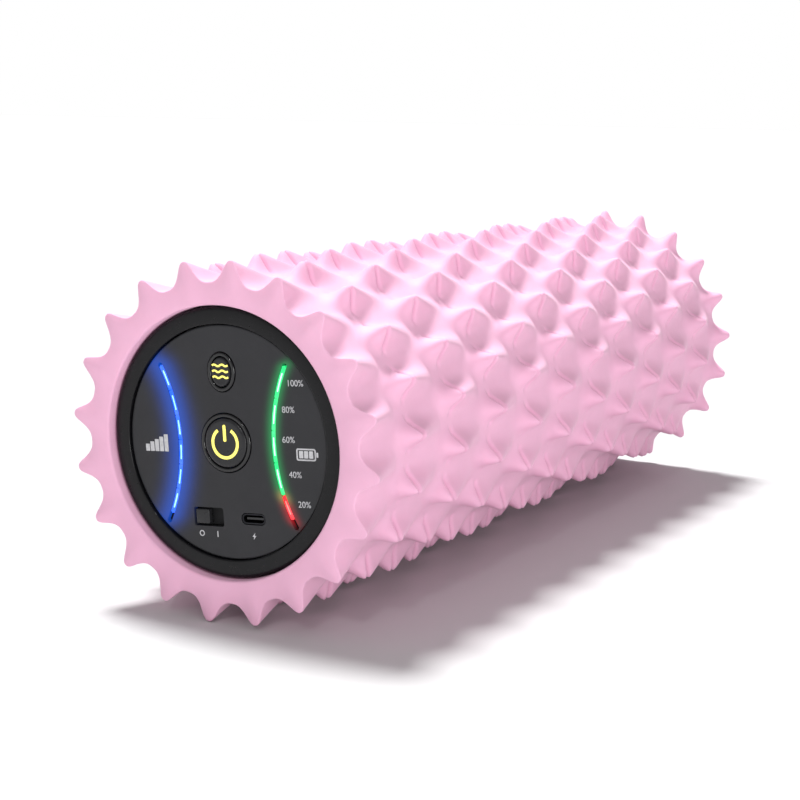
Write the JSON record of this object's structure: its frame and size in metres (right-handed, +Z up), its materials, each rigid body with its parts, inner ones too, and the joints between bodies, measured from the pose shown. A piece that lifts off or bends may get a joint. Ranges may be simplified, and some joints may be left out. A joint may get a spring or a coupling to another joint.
{
  "type": "vibrating foam roller",
  "caption": "Toothed foam roller on a rigid core, with a control panel at one end and a battery and an eccentric-weight motor inside",
  "frame": {"origin": "centre of the bounding box, on the roller's axis at mid-length", "axes": "+Y along the roller's axis, away from the control panel, which faces -Y; +Z up as it lies on a floor; +X completes the right-handed frame, to the right when facing the panel"},
  "size_m": [0.1216, 0.33, 0.1216],
  "materials": {
    "foam": "moulded EVA foam, matt light pink with a fine closed-cell grain",
    "shell_black": "moulded ABS, matt black",
    "panel_black": "moulded ABS, satin dark grey with printed marks",
    "trim_black": "polished black plastic",
    "blue_light": "clear light guide, lit blue",
    "green_light": "clear light guide, lit green",
    "red_light": "clear light guide, lit red",
    "steel": "plated steel",
    "board_green": "circuit board with green solder mask",
    "white_plastic": "white moulded plastic",
    "grey_plastic": "grey glass-filled nylon",
    "cell_blue": "shrink sleeve over a steel cell",
    "magnet": "ferrite",
    "copper": "copper windings on a steel stack and shaft",
    "rubber": "black rubber",
    "brass": "brass",
    "red_wire": "wire insulation"
  },
  "bodies": {
    "shell": {"battery_cell_1": "cell_blue", "battery_cell_2": "cell_blue", "battery_cell_3": "cell_blue", "battery_lead": "red_wire", "battery_led_bar": "white_plastic", "battery_light_guide": "green_light", "battery_strap": "shell_black", "battery_tray": "shell_black", "board_screw_1": "steel", "board_screw_2": "steel", "board_screw_3": "steel", "cell_link_front": "brass", "cell_link_rear": "brass", "chassis": "grey_plastic", "clamp_screw_11": "steel", "clamp_screw_12": "steel", "clamp_screw_21": "steel", "clamp_screw_22": "steel", "control_board": "board_green", "core_tube": "shell_black", "face_plate": "panel_black", "foam_sleeve": "foam", "front_bearing": "brass", "front_housing": "shell_black", "housing_screw_1": "steel", "housing_screw_2": "steel", "housing_screw_3": "steel", "low_light_guide": "red_light", "magnet_left": "magnet", "magnet_right": "magnet", "mode_ring": "trim_black", "mode_tact_switch": "steel", "motor_can": "steel", "motor_clamp_1": "grey_plastic", "motor_clamp_2": "grey_plastic", "motor_damper_1": "rubber", "motor_damper_2": "rubber", "motor_end_cap": "shell_black", "motor_lead": "trim_black", "power_ring": "trim_black", "power_tact_switch": "steel", "rear_bearing": "brass", "rear_cap": "shell_black", "rear_cap_screw_1": "steel", "rear_cap_screw_2": "steel", "rear_cap_screw_3": "steel", "speed_led_bar": "white_plastic", "speed_light_guide": "blue_light", "switch_body": "shell_black", "usb_shell": "steel", "usb_tongue": "trim_black"},
    "power_key": {"power_button": "panel_black"},
    "mode_key": {"mode_button": "panel_black"},
    "switch_slider": {"switch_knob": "trim_black"},
    "rotor": {"motor_rotor": "copper", "front_weight": "brass", "rear_weight": "brass"}
  },
  "joints": [
    {"name": "power_press", "type": "slide", "parent": "shell", "child": "power_key", "axis": [0, 1, 0], "range_m": [0, 0.0008], "stiffness_N_per_m": 2500},
    {"name": "mode_press", "type": "slide", "parent": "shell", "child": "mode_key", "axis": [0, 1, 0], "range_m": [0, 0.0008], "stiffness_N_per_m": 2500},
    {"name": "switch_slide", "type": "slide", "parent": "shell", "child": "switch_slider", "axis": [0.9969, 0, 0.0785], "range_m": [0, 0.0054]},
    {"name": "rotor_spin", "type": "hinge", "parent": "shell", "child": "rotor", "pos_m": [-0.00086, 0.014, 0.01097], "axis": [0, 1, 0], "continuous": true}
  ]
}
